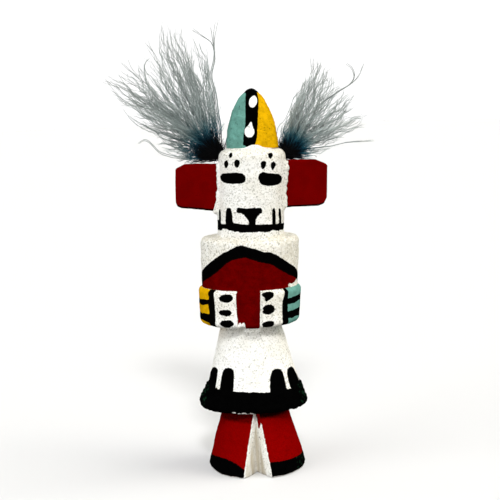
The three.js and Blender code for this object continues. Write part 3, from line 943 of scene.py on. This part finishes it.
def lock_paths(spec):
    """Wavy middle lines of the locks, from the shaft out to the outer tips and to fillers among them."""
    root, tips = spec["root"], np.array(spec["tips"], float)
    round_edge = np.concatenate([[0], np.cumsum(np.linalg.norm(np.diff(tips, axis=0), axis=1))])
    fillers, filled = spec["fillers"], spec["filled"]
    place = (np.arange(fillers) + DOWN_RANDOM.uniform(0, 1, fillers)) / fillers
    place = (filled[0] + place ** spec["crowding"] * (filled[1] - filled[0])) * round_edge[-1]
    inner = np.stack([np.interp(place, round_edge, tips[:, axis]) for axis in (0, 1)], axis=1)
    inner = root[[0, 2]] + (inner - root[[0, 2]]) * DOWN_RANDOM.uniform(0.5, 1.0, (fillers, 1)) ** 0.7
    ends = np.concatenate([tips, inner])
    count = len(ends)
    depth = DOWN_RANDOM.normal(0, 1, count) * np.linalg.norm(ends - root[[0, 2]], axis=1) * 0.13
    ends = np.stack([ends[:, 0], root[1] + depth, ends[:, 1]], axis=1)
    shaft = shaft_way(spec)
    starts = root + DOWN_RANDOM.uniform(-1.5, 3, (count, 1)) * shaft
    starts += DOWN_RANDOM.normal(0, (1.5, 1.3, 0.8), (count, 3))
    reach = np.linalg.norm(ends - starts, axis=1)
    way = unit(ends - starts)
    leave = unit(way + 0.15 * shaft + DOWN_RANDOM.normal(0, 0.1, (count, 3)))
    arrive = unit(way + DOWN_RANDOM.normal(0, 0.2, (count, 3)) + np.array([0, 0, 0.06]))
    t = np.linspace(0, 1, PATH_STEPS)[None, :, None]
    second, third = starts + leave * reach[:, None] * 0.33, ends - arrive * reach[:, None] * 0.33
    paths = (
        (1 - t) ** 3 * starts[:, None] + 3 * t * (1 - t) ** 2 * second[:, None]
        + 3 * t * t * (1 - t) * third[:, None] + t ** 3 * ends[:, None]
    )
    across, through = sideways_of(unit(np.gradient(paths, axis=1)))
    still = np.minimum(1, (1 - t[0, :, 0]) / 0.1)
    paths = paths + across * (waves(count, PATH_STEPS, reach, 11, 22, 0.42) * still)[:, :, None]
    paths = paths + through * waves(count, PATH_STEPS, reach, 14, 26, 0.8)[:, :, None]
    strays = np.stack([stray_path(points, root[1]) for points in spec["strays"]])
    paths = np.concatenate([paths, strays])
    return paths, np.linalg.norm(np.diff(paths, axis=1), axis=2).sum(1)


def stray_path(points, depth):
    """A smooth line through the points of a stray lock, with its steps evenly spaced."""
    knots = np.array(points, float)
    gaps = np.concatenate([[0], np.cumsum(np.linalg.norm(np.diff(knots, axis=0), axis=1))])
    fine = np.linspace(0, gaps[-1], 200)
    line = np.stack([np.interp(fine, gaps, knots[:, axis]) for axis in (0, 1)], axis=1)
    for _ in range(60):
        line[1:-1] = (line[:-2] + 2 * line[1:-1] + line[2:]) / 4
    chosen = line[np.linspace(0, len(line) - 1, PATH_STEPS).astype(int)]
    return np.stack([chosen[:, 0], np.full(PATH_STEPS, depth), chosen[:, 1]], axis=1)


def along_lines(lines, which, t):
    """Points on chosen lines at shares of their steps, and the directions there."""
    steps = lines.shape[1]
    place = np.clip(t, 0, 1.04) * (steps - 1)
    low = np.minimum(place.astype(int), steps - 2)
    part = (place - low)[:, :, None]
    here, after = lines[which[:, None], low], lines[which[:, None], low + 1]
    return here + part * (after - here), unit(after - here)


def barbs(spec, paths, reach):
    """A few wavy barbs in every lock, which part again near its tip. Those of strays are thicker."""
    strays = len(spec["strays"])
    shares = np.full(len(paths), BARBS_PER_LOCK)
    shares[len(paths) - strays:] = BARBS_PER_STRAY
    which = np.repeat(np.arange(len(paths)), shares)
    count = len(which)
    stray = which >= len(paths) - strays
    slim = np.where(stray, 0.25, 1.0)[:, None]
    s = np.linspace(0, 1, BARB_STEPS)
    first, last = DOWN_RANDOM.uniform(0, 0.1, (count, 1)), DOWN_RANDOM.uniform(0.84, 1.03, (count, 1))
    last[stray] = 1
    t = first + (last - first) * s
    centre, way = along_lines(paths, which, t)
    across, through = sideways_of(way)
    width = np.interp(t, *LOCK_WIDTH) * slim
    long = (last - first)[:, 0] * reach[which]
    aside = DOWN_RANDOM.normal(0, 0.5, (count, 1)) * width
    aside = aside + waves(count, BARB_STEPS, long, 7, 16, 0.28) * slim
    deep = DOWN_RANDOM.normal(0, 0.7, (count, 1)) * width
    fork = DOWN_RANDOM.uniform(0.72, 0.92, len(paths))[which]
    parting = DOWN_RANDOM.normal(0, 0.2, count) * reach[which]
    aside += np.maximum(0, t - fork[:, None]) * parting[:, None] * slim
    lines = centre + across * aside[:, :, None] + through * deep[:, :, None]
    return lines, long, np.where(stray, 1.8, DOWN_RANDOM.uniform(0.7, 1.5, count))


def barb_bunch(spec, lines, thickness):
    radii = np.interp(np.linspace(0, 1, BARB_STEPS), (0, 0.4, 0.85, 1), (0.06, 0.075, 0.075, 0.03))
    radii = radii[None] * thickness[:, None]
    return lines, radii, dyed(spec, lines), DOWN_RANDOM.normal(-0.35, 0.35, len(lines)).clip(-1, 1)


def core(spec):
    """Short thick hairs, packed at the root so that nothing shows through."""
    count, steps = CORE_HAIRS, 5
    side = np.sign(spec["root"][0])
    fan = np.radians(DOWN_RANDOM.uniform(-45, 105, count)) * side
    way = np.stack([np.sin(fan), DOWN_RANDOM.normal(0, 0.25, count), np.cos(fan)], axis=1)
    start = spec["root"] + DOWN_RANDOM.normal(0, (0.9, 1.1, 0.6), (count, 3))
    size = DOWN_RANDOM.uniform(3, 8, count)
    size *= np.interp(fan * side, np.radians((-45, 10, 105)), (0.55, 1, 1))
    s = np.linspace(0, 1, steps)
    lines = start[:, None] + way[:, None] * (s * size[:, None])[:, :, None]
    lines[:, :, 0] += side * 0.4 * s ** 2 * size[:, None] * DOWN_RANDOM.normal(0, 0.4, (count, 1))
    radii = np.interp(s, (0, 0.6, 1), (0.11, 0.09, 0.02))
    radii = radii[None] * DOWN_RANDOM.uniform(0.7, 1.2, (count, 1))
    far = np.linalg.norm(lines - spec["root"], axis=2) / spec["dye"]
    return lines, radii, far, DOWN_RANDOM.normal(-0.2, 0.3, count).clip(-1, 1)


def dyed(spec, lines):
    """How far up the dye each point counts: its distance from the root, and more low over the ear."""
    root = spec["root"]
    far = np.linalg.norm(lines - root, axis=2)
    fall = np.degrees(np.arctan2(np.abs(lines[:, :, 0] - root[0]), lines[:, :, 2] - root[2]))
    return (far + 0.9 * np.clip((fall - 76) / 24, 0, 1) * np.maximum(far - 7, 0)) / spec["dye"]


def barbules(spec, lines, long, share, hug, stray):
    """Short fine hairs that follow the barbs closely, or stray from them."""
    count, steps = int(share * spec["barbules"]), 4
    which = DOWN_RANDOM.choice(len(lines), count, p=long / long.sum())
    s = np.linspace(0, 1, steps)[None]
    size = DOWN_RANDOM.uniform(2.2, 5.5, (count, 1))
    first = DOWN_RANDOM.uniform(0, 0.97, (count, 1)) ** 0.85
    centre, way = along_lines(lines, which, first + s * size / long[which][:, None])
    across, through = sideways_of(way)
    turn = DOWN_RANDOM.uniform(0, 2 * math.pi, (count, 1))
    out = hug * DOWN_RANDOM.uniform(0.2, 1, (count, 1)) * s
    out = out + stray * np.abs(DOWN_RANDOM.normal(0, 1, (count, 1))) * size * s ** 1.4
    hair = centre + across * (np.cos(turn) * out)[:, :, None]
    hair = hair + through * (np.sin(turn) * out)[:, :, None]
    radii = np.array([1.0, 0.9, 0.7, 0.2])[None] * DOWN_RANDOM.uniform(0.014, 0.026, (count, 1))
    return hair, radii, dyed(spec, hair), DOWN_RANDOM.normal(0.2, 0.35, count).clip(-1, 1)


def make_plume(node_name, paint):
    spec = PLUMES[node_name]
    paths, reach = lock_paths(spec)
    # The shaft runs from 4 mm inside the carving to 5 mm out of it, and tapers.
    shaft = spec["root"] + np.linspace(-4, 5, 10)[:, None] * shaft_way(spec)
    stem = shaft[None], np.linspace(0.65, 0.2, 10)[None], np.zeros((1, 10)), np.zeros(1)
    lines, long, thickness = barbs(spec, paths, reach)
    strands = [stem, core(spec), barb_bunch(spec, lines, thickness)]
    strands.append(barbules(spec, lines, long, *CLOSE_BARBULES))
    down = [barbules(spec, lines, long, *kind) for kind in LOOSE_BARBULES]
    for name, bunches in ((node_name + "_barbs", strands), (node_name + "_down", down)):
        piece = link(name, strand_mesh(name, bunches), paint)
        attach(piece, "root")
        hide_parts(node_name)


# Camera, floor and light

CAMERA_AT = (-0.74, -459.6, 143.2)
CAMERA_PITCH = 8
CAMERA_ROLL = 1.5
CAMERA_LENS = 93.6
SKY = 0.5
GROUND = 0.33
FLOOR_ALBEDO = 0.66
FLOOR_GLOW = 0.05
WALL_GLOW = 1.1
# Each lamp: the direction that it stands in, how wide it looks in degrees, its power and its colour.
LAMPS = {
    "key": ((0.05, -0.77, 0.64), 9, 1.86, (1, 1, 1)),
    "high": ((0.75, 0, 0.8), 42, 1.58, (1, 0.98, 0.92)),
    "left": ((-0.85, -0.45, 0.45), 50, 1.3, (0.98, 1, 1)),
    "right": ((0.9, -0.45, 0.35), 40, 0.6, (1, 0.94, 0.8)),
}


def make_camera():
    data = bpy.data.cameras.new("camera")
    data.lens = CAMERA_LENS
    camera = add_object("camera", data)
    tilt = Matrix.Rotation(math.radians(90 - CAMERA_PITCH), 4, "X")
    roll = Matrix.Rotation(math.radians(-CAMERA_ROLL), 4, "Z")
    camera.matrix_world = Matrix.Translation(Vector(CAMERA_AT) * MM) @ tilt @ roll
    bpy.context.scene.camera = camera


def glowing(name, albedo, glow):
    made, tree, shader = material(name, 0.9)
    shader.inputs["Base Color"].default_value = colour(albedo, albedo, albedo)
    shader.inputs["Emission Color"].default_value = colour(1, 1, 1)
    shader.inputs["Emission Strength"].default_value = glow
    return made


def make_floor():
    reach = 3.0
    corners = [(-reach, -reach, 0), (reach, -reach, 0), (reach, reach, 0), (-reach, reach, 0)]
    mesh = bpy.data.meshes.new("floor")
    mesh.from_pydata(corners, [], [(0, 1, 2, 3)])
    floor = link("floor", mesh, glowing("white_floor", FLOOR_ALBEDO, FLOOR_GLOW))
    floor.visible_diffuse = False


def make_backdrop():
    """A white studio wall all round, which only the camera sees, so that it lights nothing."""
    reach, sides, tall = 2.9, 48, 4.0
    rings = [(reach, -0.05), (reach, tall), (0.01, tall)]
    turns = [2 * math.pi * k / sides for k in range(sides)]
    corners = [(radius * math.cos(a), radius * math.sin(a), z) for radius, z in rings for a in turns]
    faces = []
    for low in (0, sides):
        for k in range(sides):
            after = (k + 1) % sides
            faces.append((low + k, low + after, low + sides + after, low + sides + k))
    mesh = bpy.data.meshes.new("backdrop")
    mesh.from_pydata(corners, [], faces)
    wall = link("backdrop", mesh, glowing("white_wall", 0.0, WALL_GLOW))
    wall.visible_diffuse = wall.visible_glossy = wall.visible_shadow = wall.visible_transmission = False


def make_light(name, at, angle, power, tint):
    """A soft far lamp. Its place only gives the direction that it shines from."""
    data = bpy.data.lights.new(name, "SUN")
    data.angle = math.radians(angle)
    data.energy = power
    data.color = tint
    lamp = add_object(name, data)
    lamp.location = at
    lamp.rotation_mode = "QUATERNION"
    lamp.rotation_quaternion = Vector(at).to_track_quat("Z", "Y")


def make_studio():
    world = bpy.data.worlds.new("studio")
    world.use_nodes = True
    tree = world.node_tree
    way = node(tree, "TexCoord").outputs["Generated"]
    height = node(tree, "SeparateXYZ", {"Vector": way}).outputs["Z"]
    sky = tree.nodes["Background"]
    sky.inputs["Color"].default_value = colour(1, 1, 1)
    tree.links.new(ramp(tree, height, -0.4, 0.3, GROUND, SKY), sky.inputs["Strength"])
    bpy.context.scene.world = world
    for name, lamp in LAMPS.items():
        make_light(name, *lamp)
    bpy.context.scene.view_settings.view_transform = "Standard"
    bpy.context.scene.view_settings.look = "None"


make_camera()
make_floor()
make_backdrop()
make_studio()
make_figure()
make_ear("ear_left")
make_ear("ear_right")
make_crest()
down_paint = plume_material()
make_plume("plume_left", down_paint)
make_plume("plume_right", down_paint)
